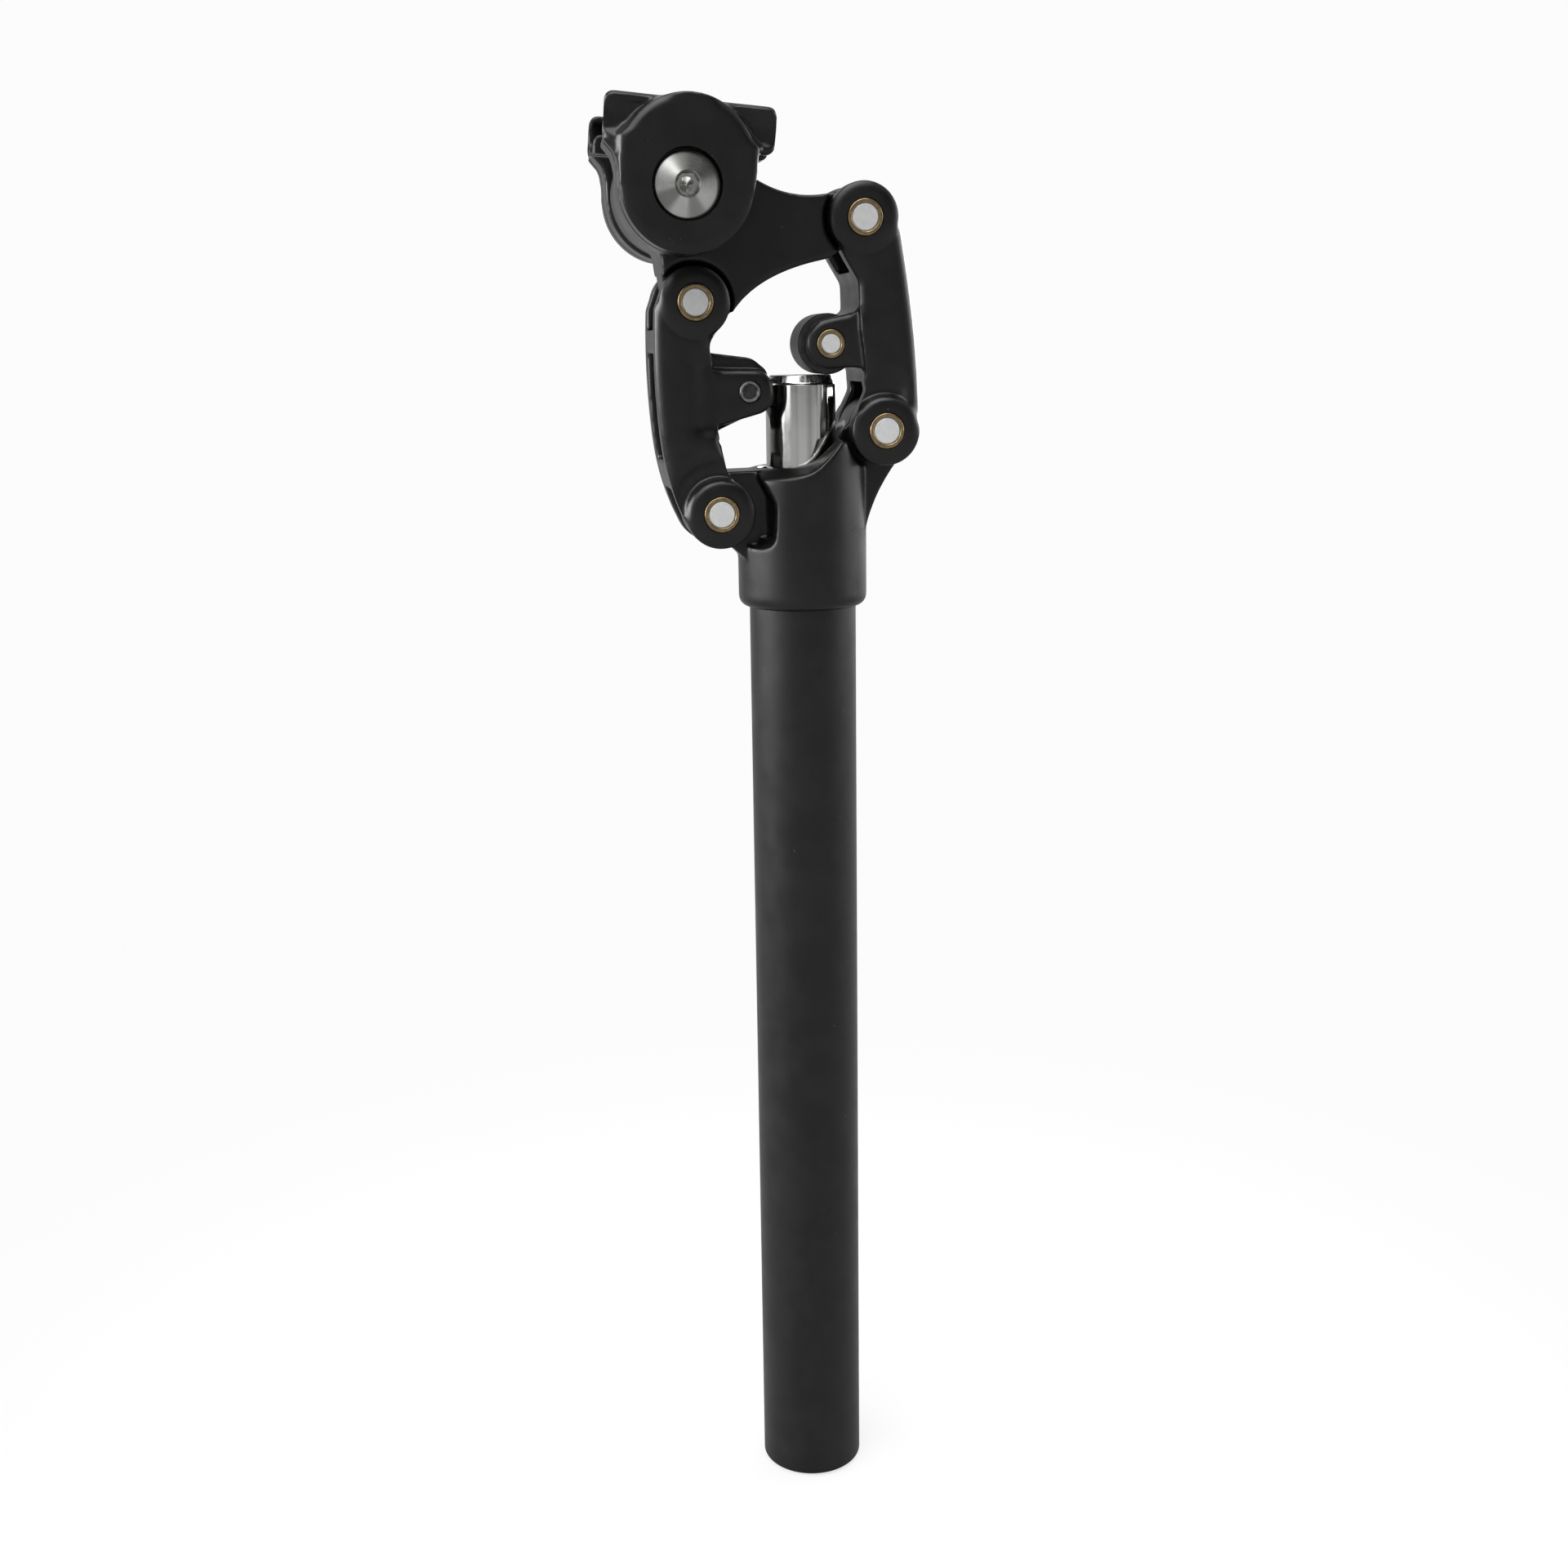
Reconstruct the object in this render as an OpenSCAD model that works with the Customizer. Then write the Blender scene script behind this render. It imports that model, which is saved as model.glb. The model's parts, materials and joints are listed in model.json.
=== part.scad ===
// Parallelogram suspension seatpost for a bicycle.
// +Z runs up the seat tube and +X points towards the front of the bicycle.
// The origin is the centre of the seat tube's lower end. All sizes are millimetres.
// Two links join the lower body to the head. The front link's roller pushes a sprung
// plunger down into the tube, and a rubber bumper on the rear link stops the rebound.

/* [Seat tube] */
// Outer diameter of the seat tube
tube_d = 27.2; // [26.8:0.2:28]
// Wall thickness of the seat tube
tube_wall = 2.2; // [1.8:0.1:2.4]
// Height of the lower body's bottom edge above the tube's lower end
tube_free_length = 244; // [200:1:330]

/* [Lower body] */
// Outer diameter of the collar around the seat tube
collar_d = 32.7; // [32.5:0.1:34]
// Half thickness of the two tongues that the links straddle
tongue_half = 6.5; // [6:0.1:6.6]

/* [Links] */
// Distance between the two pivots of a link
link_length = 50.6; // [50:0.1:52]
// Rearward lean of the links at rest, in degrees
link_lean = 6; // [4:0.5:8]
// Half width of both links across the pivots
link_half = 14; // [13.5:0.1:14.5]
// Radius of the round link ends
link_end_r = 8.5; // [8:0.1:8.6]
// Radius of a main pivot pin
pin_r = 3.25; // [3:0.05:3.4]
// Radius of a main pivot bush
bush_r = 4.35; // [4.1:0.05:4.6]

/* [Plunger and spring] */
// Outer diameter of the plunger
plunger_d = 17.5; // [17:0.1:17.6]
// Stroke of the plunger at full travel
plunger_stroke = 15.5; // [15:0.1:16]
// Radius of the roller that presses on the plunger
roller_r = 7.4; // [7:0.1:7.5]
// Wire diameter of the spring
wire_d = 2.6; // [2:0.1:2.8]
// Number of coils in the spring
coils = 15; // [10:1:18]

/* [Saddle clamp] */
// Diameter of the saddle rails
rail_d = 7; // [7:0.1:7.2]
// Distance between the two saddle rails
rail_spacing = 43.4; // [43:0.1:44]
// Nose-down tilt of the clamp at rest, in degrees
clamp_tilt = 5.4; // [0:0.2:8]
// Height of the rails above the clamp bolt
rail_height = 13.4; // [13:0.1:14]

/* [Hidden] */
$fn = 72;

// Shared centres in the side view, each as [x, z].
lift = tube_free_length - 244;
link_vector = link_length * [-sin(link_lean), cos(link_lean)];
front_low = [19.05, 287.9 + lift];
rear_low = [-22.25, 268.6 + lift];
front_high = front_low + link_vector;
rear_high = rear_low + link_vector;
roller_axis = [5.8, 308.9 + lift];
bumper_axis = [-14.4, 297.8 + lift];
clamp_axis = [-30.5, 344.5 + lift];

// Radii and clearances that several parts share.
tube_r = tube_d / 2;
bore_r = tube_r - tube_wall;
spigot_r = tube_r - 0.3;
collar_r = collar_d / 2;
plunger_r = plunger_d / 2;
rail_r = rail_d / 2;
rail_y = rail_spacing / 2;
pin_gap = 0.05;
cheek_inner = tongue_half + 0.5;
slot_r = 12.6;
lug_r = 7;
axle_r = 2.45;
ear_half = 11;
roller_half = 6.2;
clamp_bolt_r = 4;

// Heights along the tube.
tube_top = 258 + lift;
rim_low = 278.5 + lift;
guide_r = plunger_r + 1.9;
guide_top = rim_low - 4;
plunger_top = roller_axis[1] - roller_r - 0.05;
plunger_foot = 250 + lift;
spring_floor = 100 + lift / 2;
spring_roof = plunger_foot - 3;

// Layers of the saddle clamp outwards from the middle.
barrel_half = 10.9;
inner_clamp_in = 11.2;
inner_clamp_out = rail_y - 0.3;
outer_clamp_in = rail_y + 0.3;
ear_face = 27.6;
disc_face = 29;

// ---- Outline helpers -------------------------------------------------------

function unit(v) = v / norm(v);

function xz(p) = [p[0], p[1]];

// Points of the arc that rounds corner b, given as [x, z, radius], between a and c.
function rounded_corner(a, b, c, steps) =
    let (
        u = unit(xz(a) - xz(b)),
        v = unit(xz(c) - xz(b)),
        half = acos(u * v) / 2,
        middle = xz(b) + unit(u + v) * b[2] / sin(half),
        first = xz(b) + u * b[2] / tan(half) - middle,
        last = xz(b) + v * b[2] / tan(half) - middle,
        start = atan2(first[1], first[0]),
        sweep = (atan2(last[1], last[0]) - start + 900) % 360 - 180
    )
    [for (i = [0 : steps]) middle + b[2] * [cos(start + sweep * i / steps), sin(start + sweep * i / steps)]];

// Outline through [x, z, radius] corners. A corner without a radius stays sharp.
function rounded(points, steps = 6) = [
    for (i = [0 : len(points) - 1])
        let (n = len(points), b = points[i])
        each (len(b) == 3
            ? rounded_corner(points[(i + n - 1) % n], b, points[(i + 1) % n], steps)
            : [b])
];

// Curve from a to c that leaves and arrives along the lines through b.
function curve(a, b, c, steps = 10) =
    [for (i = [0 : steps]) let (t = i / steps) (1 - t) ^ 2 * a + 2 * t * (1 - t) * b + t ^ 2 * c];

function raise(points) = [for (p = points) [p[0], p[1] + lift, each (len(p) == 3 ? [p[2]] : [])]];

// Height of the lower body's upper rim, flat at the rear and climbing to the front pivot.
function rim(x) = rim_low + 0.575 * (x - 1.8 + sqrt((x - 1.8) ^ 2 + 25));

// Depth of the bevel around that rim, which runs out towards the front pivot.
function bevel_drop(x) = 3.1 * min(1, max(0, (13 - x) / 13));

// ---- Solid helpers ---------------------------------------------------------

// A side-view outline made solid from y = from to y = to.
module slab(from, to) {
    translate([0, to, 0])
        rotate([90, 0, 0])
            linear_extrude(to - from)
                children();
}

// A round bar across the bicycle through an [x, z] point.
module bar(point, r, from, to) {
    translate([point[0], to, point[1]])
        rotate([90, 0, 0])
            cylinder(r = r, h = to - from);
}

// A bar with chamfered ends.
module pin(point, r, half, chamfer = 0.35) {
    translate([point[0], 0, point[1]])
        rotate([90, 0, 0])
            rotate_extrude()
                polygon([
                    [0, -half],
                    [r - chamfer, -half],
                    [r, chamfer - half],
                    [r, half - chamfer],
                    [r - chamfer, half],
                    [0, half]
                ]);
}

// A plain ring about an [x, z] point.
module ring(point, inner_r, outer_r, from, to) {
    difference() {
        bar(point, outer_r, from, to);
        bar(point, inner_r, from - 1, to + 1);
    }
}

// The same ring in both cheeks of a fork.
module ring_pair(point, inner_r, outer_r, from, to) {
    ring(point, inner_r, outer_r, from, to);
    ring(point, inner_r, outer_r, -to, -from);
}

// A ring about the tube's axis.
module sleeve(inner_r, outer_r, from, to) {
    translate([0, 0, from])
        difference() {
            cylinder(r = outer_r, h = to - from);
            translate([0, 0, -1])
                cylinder(r = inner_r, h = to - from + 2);
        }
}

module disc(point, r) {
    translate(point)
        circle(r);
}

// ---- Seat tube and lower body ----------------------------------------------

// The upper end is turned down where the lower body grips it.
module seat_tube() {
    color("#26272a")
        difference() {
            union() {
                cylinder(r = tube_r, h = tube_free_length);
                cylinder(r = spigot_r, h = tube_top);
            }
            translate([0, 0, -1])
                cylinder(r = bore_r, h = tube_top + 2);
        }
}

module collar() {
    edge = 2.6;
    rotate_extrude()
        polygon(concat(
            [[0, tube_free_length]],
            [for (a = [0 : 15 : 90]) [collar_r - edge + edge * sin(a), tube_free_length + edge - edge * cos(a)]],
            [[collar_r, 310 + lift], [0, 310 + lift]]
        ));
}

// Everything above the bevelled rim, as a solid to take away from the collar.
module above_rim() {
    radii = [10, 12.3, collar_r + 1];
    turns = 60;
    levels = len(radii);
    top = 320 + lift;
    function rim_point(k, i) =
        let (
            a = 360 * i / turns,
            x = radii[k] * cos(a),
            bevel = k == levels - 1 ? bevel_drop(x) : 0
        )
        [x, radii[k] * sin(a), rim(x) - bevel];
    points = concat(
        [for (k = [0 : levels - 1]) for (i = [0 : turns - 1]) rim_point(k, i)],
        [for (i = [0 : turns - 1]) [radii[levels - 1] * cos(360 * i / turns), radii[levels - 1] * sin(360 * i / turns), top]],
        [[0, 0, rim(0)], [0, 0, top]]
    );
    floor_hub = (levels + 1) * turns;
    roof_hub = floor_hub + 1;
    function at(k, i) = k * turns + i % turns;
    faces = concat(
        [for (i = [0 : turns - 1]) [floor_hub, at(0, i), at(0, i + 1)]],
        [for (k = [0 : levels - 1]) for (i = [0 : turns - 1]) each [
            [at(k, i), at(k + 1, i), at(k + 1, i + 1)],
            [at(k, i), at(k + 1, i + 1), at(k, i + 1)]
        ]],
        [for (i = [0 : turns - 1]) [roof_hub, at(levels, i + 1), at(levels, i)]]
    );
    polyhedron(points, faces);
}

// Side view of the two tongues, with the front one climbing along the rim.
module front_tongue() {
    polygon(concat(
        [[9, 258 + lift]],
        raise(curve([14.5, 258], [15.6, 271], [25.3, 282.4])),
        [front_low],
        [for (x = [12.8 : -0.95 : 9]) [x, rim(x)]]
    ));
    disc(front_low, link_end_r - 0.3);
}

module rear_tongue() {
    polygon(rounded(raise([
        [-9, 256.8], [-15.6, 256.8, 2.5], [-19.8, 260.6], [-30.3, 268.6], [-28.3, 275.6, 3],
        [-24, 278.4, 3], [-9, 278.7]
    ])));
    disc(rear_low, link_end_r - 0.4);
}

// Clearance in the collar for the ends of the links, which leaves the bore's wall whole.
module link_relief_faces() {
    disc(front_low, link_end_r + 1.4);
    intersection() {
        disc(front_low, 11.3);
        translate([0, 285.5 + lift])
            square(40);
    }
    polygon(rounded(raise([
        [-45, 260.2], [-9.2, 260.2, 2.5], [-8.6, 270.5, 6], [-12.4, 277.5, 5], [-12.4, 300], [-45, 300]
    ])));
}

module link_reliefs() {
    difference() {
        slab(-25, 25) link_relief_faces();
        slab(-tongue_half, tongue_half)
            translate([-60, 200 + lift])
                square([120, 140]);
        cylinder(r = guide_r + 1.3, h = 400);
    }
}

module lower_body() {
    color("#26272a")
        difference() {
            union() {
                difference() {
                    collar();
                    above_rim();
                }
                slab(-tongue_half, tongue_half) front_tongue();
                slab(-tongue_half, tongue_half) rear_tongue();
            }
            link_reliefs();
            cylinder(r = spigot_r, h = tube_top);
            cylinder(r = guide_r, h = 320 + lift);
            for (pivot = [front_low, rear_low])
                bar(pivot, pin_r, -20, 20);
        }
}

module guide_bush() {
    color("#b9a06a")
        sleeve(plunger_r + pin_gap, guide_r, tube_top + 2, guide_top);
}

module wiper_seal() {
    color("#1a1a1a")
        difference() {
            sleeve(plunger_r + 0.03, guide_r, guide_top, guide_top + 3);
            translate([0, 0, guide_top + 1.6])
                cylinder(r1 = plunger_r, r2 = plunger_r + 1.7, h = 2);
        }
}

module lower_pivot_pins() {
    color("#c9cacc") {
        pin(front_low, pin_r, link_half);
        pin(rear_low, pin_r, link_half);
    }
}

// ---- Spring unit inside the tube -------------------------------------------

module preload_plug() {
    key = 8;
    color("#2e2f33")
        translate([0, 0, 3])
            difference() {
                cylinder(r = bore_r - 0.05, h = 12);
                translate([0, 0, -1])
                    cylinder(r = key / sqrt(3), h = 8, $fn = 6);
                translate([0, 0, 6])
                    cylinder(r = 3, h = 10);
            }
}

module spring_spacer() {
    color("#3b3b3b")
        sleeve(bore_r - 3, bore_r - 0.6, 15.1, spring_floor - 1.6);
}

module spring_washer() {
    color("#9fa2a6")
        sleeve(3, bore_r - 0.5, spring_floor - 1.6, spring_floor);
}

module elastomer_core() {
    color("#b8862e")
        translate([0, 0, spring_floor])
            cylinder(r = 5, h = spring_roof - plunger_stroke - spring_floor - 4);
}

// Round wire swept along the coils. The end coils lie closer together.
module coil_spring() {
    coil_r = 8;
    sides = 8;
    steps = 18;
    rings = coils * steps;
    low = spring_floor + wire_d / 2 + 0.05;
    span = spring_roof - wire_d / 2 - 0.05 - low;
    function height(t) = low + span * (t - 0.045 * sin(360 * t));
    function wire_point(i, j) =
        let (turn = 360 * i / steps, side = 360 * j / sides, out = coil_r + wire_d / 2 * cos(side))
        [out * cos(turn), out * sin(turn), height(i / rings) + wire_d / 2 * sin(side)];
    points = [for (i = [0 : rings]) for (j = [0 : sides - 1]) wire_point(i, j)];
    faces = concat(
        [[for (j = [0 : sides - 1]) j]],
        [for (i = [0 : rings - 1]) for (j = [0 : sides - 1])
            let (a = i * sides + j, b = i * sides + (j + 1) % sides)
            each [[a, a + sides, b + sides], [a, b + sides, b]]],
        [[for (j = [sides - 1 : -1 : 0]) rings * sides + j]]
    );
    color("#6f7378")
        polyhedron(points, faces);
}

module spring_cap() {
    color("#d8d6cf")
        translate([0, 0, spring_roof])
            difference() {
                union() {
                    cylinder(r = bore_r - 0.6, h = 3);
                    translate([0, 0, 3])
                        cylinder(r = 6.2, h = 9);
                }
                translate([0, 0, -1])
                    cylinder(r = 2, h = 20);
            }
}

module plunger() {
    skirt_r = 6.5;
    crown = 6;
    color("#d9dadc")
        rotate_extrude()
            polygon([
                [skirt_r, plunger_foot],
                [bore_r - 0.6, plunger_foot],
                [bore_r - 0.6, plunger_foot + 4],
                [plunger_r, plunger_foot + 4],
                [plunger_r, plunger_top - 2.4],
                [plunger_r - 0.5, plunger_top - 1.9],
                [plunger_r - 1.1, plunger_top],
                [0, plunger_top],
                [0, plunger_top - crown],
                [skirt_r, plunger_top - crown]
            ]);
}

// ---- Front link ------------------------------------------------------------

module front_link_face() {
    polygon(rounded(concat(
        [front_high + [-link_end_r + 0.6, -3]],
        raise([[9.4, 328.6, 2], [12.5, 323.5, 3], [12.8, 312], [13.9, 304], [14.3, 297.5]]),
        [front_low + [-7.6, 3.6], front_low],
        raise(curve([27.45, 286.5], [27.9, 309], [22, 339.6])),
        [front_high]
    )));
}

// The arm's ears around the roller.
module roller_arm_face() {
    polygon(rounded(raise([
        [5.6, 315], [12.9, 316.4, 2.5], [12.6, 321], [20, 321], [20, 299], [14, 299], [13.9, 303.3, 1.6], [5.4, 303]
    ])));
}

module front_link() {
    color("#26272a")
        difference() {
            union() {
                slab(-link_half + 0.7, link_half - 0.7) front_link_face();
                bar(front_high, link_end_r, -link_half, link_half);
                bar(front_low, link_end_r, -link_half, link_half);
                slab(-ear_half, ear_half) roller_arm_face();
                bar(roller_axis, 6, -ear_half, ear_half);
            }
            bar(front_high, slot_r, -cheek_inner, cheek_inner);
            bar(front_low, slot_r, -cheek_inner, cheek_inner);
            bar(roller_axis, roller_r + 0.8, -roller_half - 0.3, roller_half + 0.3);
            for (pivot = [front_high, front_low])
                bar(pivot, bush_r, -20, 20);
            bar(roller_axis, 3.5, -20, 20);
        }
}

module front_link_bushes() {
    color("#c9a255")
        for (pivot = [front_high, front_low])
            ring_pair(pivot, pin_r + pin_gap, bush_r, cheek_inner, link_half);
}

module front_link_washers() {
    color("#e4e1d6")
        for (pivot = [front_high, front_low])
            ring_pair(pivot, bush_r, 6.4, cheek_inner - 0.4, cheek_inner);
}

module roller_bushes() {
    color("#c9a255")
        ring_pair(roller_axis, axle_r + pin_gap, 3.5, roller_half + 0.3, ear_half);
}

module roller() {
    color("#2c2d2f")
        difference() {
            pin(roller_axis, roller_r, roller_half, 0.4);
            bar(roller_axis, axle_r, -20, 20);
        }
}

module roller_axle() {
    color("#c9cacc")
        pin(roller_axis, axle_r, ear_half);
}

// ---- Rear link -------------------------------------------------------------

module rear_link_face() {
    polygon(rounded(concat(
        [rear_high + [-8.1, 2.5]],
        raise(curve([-37.1, 317.5], [-37.9, 303], [-36.5, 288], 6)),
        raise(curve([-36.2, 285.5], [-34.9, 274.5], [-30.2, 265.4], 8)),
        [rear_low],
        raise([[-17.5, 274], [-20.6, 279.5, 4], [-22.9, 291], [-24.1, 309.4, 3], [-20.1, 315.6]]),
        [rear_high]
    )));
}

// Deep middle of the arm that carries the rebound bumper.
module bumper_arm_core() {
    polygon(rounded(raise([
        [-30, 308], [-13.2, 305.8, 5], [-9.3, 302.6, 3], [-9.3, 294.2, 3], [-21.8, 288.6, 2], [-30, 288]
    ])));
}

module bumper_arm_cheeks() {
    polygon(rounded(raise([
        [-30, 304.5], [-23.8, 303.2, 2], [-8.4, 302.8, 4.6], [-8.4, 293.4, 4.6], [-21.8, 289.8, 2], [-30, 289.5]
    ])));
}

module rear_link() {
    pocket_half = 7;
    color("#26272a")
        difference() {
            union() {
                slab(-link_half + 0.9, link_half - 0.9) rear_link_face();
                bar(rear_high, link_end_r, -link_half, link_half);
                bar(rear_low, link_end_r, -link_half, link_half);
                slab(-8, 8) bumper_arm_core();
                for (side = [-1, 1])
                    slab(side > 0 ? 7.8 : -ear_half, side > 0 ? ear_half : -7.8) bumper_arm_cheeks();
            }
            bar(rear_high, 11.3, -cheek_inner, cheek_inner);
            bar(rear_low, slot_r, -cheek_inner, cheek_inner);
            slab(-pocket_half, pocket_half)
                polygon(raise([[-45, 281.5], [-32.6, 281.5], [-32.6, 307], [-45, 307]]));
            slab(-4.6, 4.6) bumper_outline(0.1);
            for (pivot = [rear_high, rear_low])
                bar(pivot, bush_r, -20, 20);
            bar(bumper_axis, 2.7, -20, 20);
        }
}

module rear_link_bushes() {
    color("#c9a255")
        for (pivot = [rear_high, rear_low])
            ring_pair(pivot, pin_r + pin_gap, bush_r, cheek_inner, link_half);
}

module rear_link_washers() {
    color("#e4e1d6")
        for (pivot = [rear_high, rear_low])
            ring_pair(pivot, bush_r, 6.4, cheek_inner - 0.4, cheek_inner);
}

module bumper_outline(gap) {
    polygon(rounded(raise([
        [-19 - gap, 301.6 + gap, 1.5], [-8.85, 301.6 + gap, 2], [-8.85, 294 - gap, 2], [-19 - gap, 294 - gap, 1.5]
    ])));
}

module rebound_bumper() {
    color("#1a1a1a")
        difference() {
            slab(-4.5, 4.5) bumper_outline(0);
            bar(bumper_axis, 2.7, -20, 20);
        }
}

// Steel pin with a staked rim at each end.
module bumper_pin() {
    color("#5d6064")
        difference() {
            pin(bumper_axis, 2.7, ear_half + 0.3, 0.5);
            for (side = [-1, 1])
                translate([bumper_axis[0], side * (ear_half + 0.3), bumper_axis[1]])
                    rotate([90, 0, 0])
                        cylinder(r = 1.9, h = 0.8, center = true);
        }
}

// ---- Head ------------------------------------------------------------------

module head_beam_face() {
    polygon(concat(
        raise([[-37, 337], [-35.2, 329.5], [-34.3, 322], [-26, 314]]),
        raise(curve([-18.5, 316], [-12.3, 325.8], [6, 329])),
        raise([[12, 333], [12, 343.5]]),
        raise(curve([7.5, 344.4], [-4, 341.5], [-14, 348.5])),
        raise([[-20, 352]])
    ));
}

module head_yoke() {
    color("#26272a")
        difference() {
            union() {
                bar(clamp_axis, 14.6, -barrel_half, barrel_half);
                slab(-barrel_half, barrel_half) head_beam_face();
                bar(front_high, lug_r, -tongue_half, tongue_half);
                bar(rear_high, lug_r, -tongue_half, tongue_half);
            }
            for (side = [-1, 1], pivot = [front_high, rear_high])
                bar(pivot, link_end_r + 0.9, side > 0 ? tongue_half : -20, side > 0 ? 20 : -tongue_half);
            for (pivot = [front_high, rear_high])
                bar(pivot, pin_r, -20, 20);
            bar(clamp_axis, clamp_bolt_r + 0.2, -20, 20);
        }
}

module upper_pivot_pins() {
    color("#c9cacc") {
        pin(front_high, pin_r, link_half);
        pin(rear_high, pin_r, link_half);
    }
}

// ---- Saddle clamp ----------------------------------------------------------

// Places a clamp part that is drawn about its own bolt axis, upright.
module at_clamp() {
    translate([clamp_axis[0], 0, clamp_axis[1]])
        rotate([0, clamp_tilt, 0])
            children();
}

module clamp_disc_face() {
    circle(15.3);
    translate([0, 4.1])
        circle(15.8);
}

module clamp_ears_face(half_length, low, high, corner) {
    polygon(rounded([
        [-half_length, low, corner],
        [half_length, low, corner],
        [half_length, high, corner],
        [-half_length, high, corner]
    ]));
}

module rail_grooves() {
    for (side = [-1, 1])
        translate([0, side * rail_y, rail_height])
            rotate([0, 90, 0])
                cylinder(r = rail_r, h = 60, center = true);
}

module mirrored_to(side) {
    mirror([0, side > 0 ? 0 : 1, 0])
        children();
}

module inner_clamp(side) {
    color("#26272a")
        at_clamp()
            difference() {
                mirrored_to(side) {
                    slab(inner_clamp_in, inner_clamp_out) clamp_disc_face();
                    slab(inner_clamp_in + 3, inner_clamp_out) clamp_ears_face(18.9, 7.4, rail_height, 1.6);
                }
                rail_grooves();
                bar([0, 0], clamp_bolt_r + 0.2, -40, 40);
            }
}

module outer_clamp(side) {
    seat_depth = 4.2;
    color("#26272a")
        at_clamp()
            difference() {
                mirrored_to(side) {
                    slab(outer_clamp_in, disc_face) clamp_disc_face();
                    slab(outer_clamp_in, ear_face) clamp_ears_face(19.7, 8.2, 18.7, 2);
                }
                rail_grooves();
                bar([0, 0], clamp_bolt_r + 0.2, -40, 40);
                mirrored_to(side)
                    bar([0, 0], 8.1, disc_face - seat_depth, 40);
            }
}

// Half section of the bolt and nut heads: a shallow cone around a recess.
module cone_head(r, thickness, crown) {
    polygon([[0, 0], [r - 0.4, 0], [r, 0.4], [r, thickness], [3.1, thickness + crown], [0, thickness + crown]]);
}

module bolt_frame(side) {
    at_clamp()
        rotate([side > 0 ? -90 : 90, 0, 0])
            children();
}

module clamp_bolt() {
    seat = disc_face - 3.2;
    bolt_key = 4.6;
    color("#c9cacc")
        bolt_frame(-1)
            difference() {
                union() {
                    translate([0, 0, seat])
                        rotate_extrude()
                            cone_head(7.15, 1.8, 1.6);
                    translate([0, 0, -seat - 2])
                        cylinder(r = clamp_bolt_r - 0.05, h = 2 * seat + 2.5);
                }
                translate([0, 0, seat + 0.4])
                    cylinder(r = bolt_key / sqrt(3), h = 8, $fn = 6);
                translate([0, 0, seat + 2.7])
                    cylinder(r1 = 2.3, r2 = 3.1, h = 0.8);
            }
}

module bolt_washer() {
    color("#8d9094")
        bolt_frame(-1)
            translate([0, 0, disc_face - 4.2])
                difference() {
                    cylinder(r = 7.4, h = 0.98);
                    translate([0, 0, -1])
                        cylinder(r = clamp_bolt_r + 0.2, h = 4);
                }
}

module clamp_nut() {
    color("#c9cacc")
        bolt_frame(1)
            translate([0, 0, disc_face - 4.2])
                difference() {
                    rotate_extrude()
                        cone_head(7.15, 2.8, 1.6);
                    translate([0, 0, -1])
                        cylinder(r = clamp_bolt_r, h = 10);
                }
}

seat_tube();
lower_body();
guide_bush();
wiper_seal();
preload_plug();
spring_spacer();
spring_washer();
elastomer_core();
lower_pivot_pins();
plunger();
spring_cap();
coil_spring();
front_link();
front_link_bushes();
front_link_washers();
roller_bushes();
roller();
roller_axle();
rear_link();
rear_link_bushes();
rear_link_washers();
rebound_bumper();
bumper_pin();
head_yoke();
upper_pivot_pins();
inner_clamp(-1);  // inner_clamp_near
inner_clamp(1);  // inner_clamp_far
outer_clamp(-1);  // outer_clamp_near
outer_clamp(1);  // outer_clamp_far
clamp_bolt();
bolt_washer();
clamp_nut();
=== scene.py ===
import json
import math

import bmesh
import bpy
import numpy as np
from mathutils import Matrix, Vector
from mathutils.bvhtree import BVHTree
from mathutils.kdtree import KDTree


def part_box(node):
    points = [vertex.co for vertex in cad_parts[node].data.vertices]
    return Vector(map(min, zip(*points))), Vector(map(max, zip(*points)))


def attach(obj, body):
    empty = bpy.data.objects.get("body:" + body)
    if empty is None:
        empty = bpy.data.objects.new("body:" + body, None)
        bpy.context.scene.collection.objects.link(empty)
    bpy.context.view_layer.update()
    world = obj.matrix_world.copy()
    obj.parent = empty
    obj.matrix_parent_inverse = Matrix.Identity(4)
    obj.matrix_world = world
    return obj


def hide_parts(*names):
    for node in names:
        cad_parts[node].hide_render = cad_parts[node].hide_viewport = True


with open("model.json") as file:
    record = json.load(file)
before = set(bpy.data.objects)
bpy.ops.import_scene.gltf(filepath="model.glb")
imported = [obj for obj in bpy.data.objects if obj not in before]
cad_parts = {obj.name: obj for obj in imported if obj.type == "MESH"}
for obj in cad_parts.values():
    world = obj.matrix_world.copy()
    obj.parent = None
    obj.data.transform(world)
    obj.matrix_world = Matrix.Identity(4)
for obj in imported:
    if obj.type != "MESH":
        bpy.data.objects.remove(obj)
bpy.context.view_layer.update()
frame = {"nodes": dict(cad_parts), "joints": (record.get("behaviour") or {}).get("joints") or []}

# Pieces are modelled in millimetres in the row frame and scaled to metres when they are finished.
MM = 0.001
MICRON = 1e-6
TURNS = 144

joint_at = {j["name"]: Vector(j["pos_m"]) / MM for j in frame["joints"] if j.get("pos_m")}
FRONT_LOW = joint_at["suspension_fold"]
REAR_LOW = joint_at["rear_link_fold"]
FRONT_HIGH = joint_at["head_level"]
REAR_HIGH = REAR_LOW + FRONT_HIGH - FRONT_LOW
ROLLER = joint_at["roller_spin"]
CLAMP = joint_at["saddle_tilt"]


def box_mm(node):
    low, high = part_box(node)
    return low / MM, high / MM


def size_mm(node):
    low, high = box_mm(node)
    return [b - a for a, b in zip(low, high)]


def middle(node):
    low, high = box_mm(node)
    return (low + high) / 2


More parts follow.
